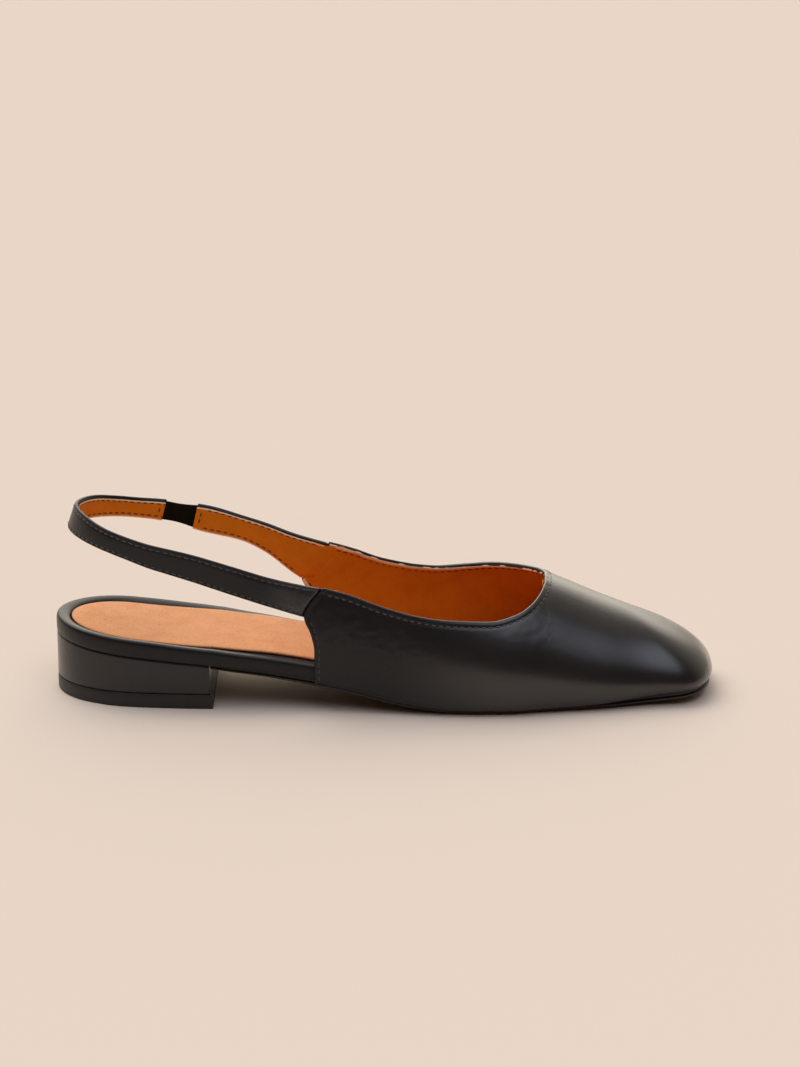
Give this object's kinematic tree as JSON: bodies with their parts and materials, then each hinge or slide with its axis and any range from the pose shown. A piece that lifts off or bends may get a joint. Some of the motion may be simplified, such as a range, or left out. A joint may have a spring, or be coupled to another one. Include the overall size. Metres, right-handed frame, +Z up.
{
  "type": "sling back flat shoe",
  "caption": "Right slingback flat with a square toe, a low covered block heel, a tan sock with a rolled dark rim, and a narrow strap round the heel with a short elastic link.",
  "frame": {"origin": "on the floor under the middle of the shoe's outline", "axes": "+X from heel to toe, -Y to the outer (lateral) side, +Y to the inner (medial) side, +Z up"},
  "size_m": [0.2528, 0.0792, 0.0733],
  "materials": {
    "upper_leather": "smooth, soft gloss",
    "strap_leather": "smooth, soft gloss",
    "rim_leather": "smooth, soft gloss",
    "heel_leather": "smooth, glossy",
    "sock_leather": "matte with fine pores",
    "elastic": "matte ribbed",
    "sole": "satin",
    "top_piece": "matte"
  },
  "bodies": {
    "root": {"upper": "upper_leather", "strap": "strap_leather", "strap_tab": "strap_leather", "strap_elastic": "elastic", "footbed": "rim_leather", "insole_sock": "sock_leather", "outsole": "sole", "heel_block": "heel_leather", "heel_top_piece": "top_piece"}
  },
  "joints": []
}
